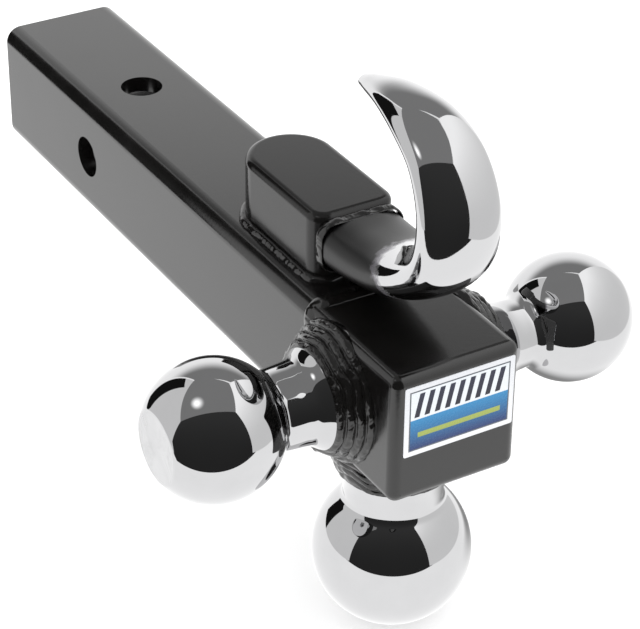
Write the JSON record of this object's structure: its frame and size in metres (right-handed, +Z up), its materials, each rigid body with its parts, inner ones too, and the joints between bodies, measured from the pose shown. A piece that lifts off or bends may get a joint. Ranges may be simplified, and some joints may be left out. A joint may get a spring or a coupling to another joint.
{
  "type": "three-ball trailer hitch mount with tow hook",
  "caption": "Welded square receiver shank with a block head that carries chrome hitch balls left, right and below, and a forged chrome tow hook on top.",
  "frame": {"origin": "the point on the shank's centre line where the two cross-drilled pin holes meet", "axes": "+Y along the shank towards the tow vehicle, +Z up, +X to the right seen from behind the trailer end; the left ball is at -X"},
  "size_m": [0.188, 0.3147, 0.2123],
  "materials": {
    "black_powder_coat": "gloss powder coat",
    "chrome_plate": "bright mirror plate",
    "label_vinyl": "printed gloss vinyl"
  },
  "bodies": {
    "root": {"shank_tube": "black_powder_coat", "head_block": "black_powder_coat", "left_ball": "chrome_plate", "right_ball": "chrome_plate", "lower_ball": "chrome_plate", "left_neck_weld": "black_powder_coat", "right_neck_weld": "black_powder_coat", "lower_neck_weld": "black_powder_coat", "head_seam_weld": "black_powder_coat", "hook_block": "black_powder_coat", "tow_hook": "chrome_plate", "hook_block_weld": "black_powder_coat", "hook_neck_weld": "black_powder_coat", "front_label": "label_vinyl"}
  },
  "joints": []
}
